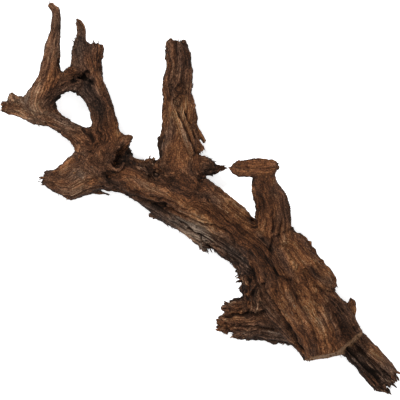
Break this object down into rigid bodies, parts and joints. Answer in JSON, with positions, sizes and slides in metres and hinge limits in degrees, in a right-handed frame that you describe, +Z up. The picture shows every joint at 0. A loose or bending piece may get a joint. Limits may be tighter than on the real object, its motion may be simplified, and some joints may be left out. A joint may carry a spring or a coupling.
{
  "type": "driftwood",
  "caption": "Weathered driftwood root: a gnarled trunk with a forked antler of branches, a broken side branch, a short sawn stem and a sawn slab end.",
  "frame": {"origin": "under the centre of the bounding box, level with the flats on which the wood rests", "axes": "+X along the wood, from the forked branches towards the sawn slab; +Z up from the surface on which it lies"},
  "size_m": [0.6256, 0.2481, 0.1173],
  "materials": {
    "weathered_wood": "matte, weathered and grooved"
  },
  "bodies": {
    "root": {"driftwood": "weathered_wood"}
  },
  "joints": []
}
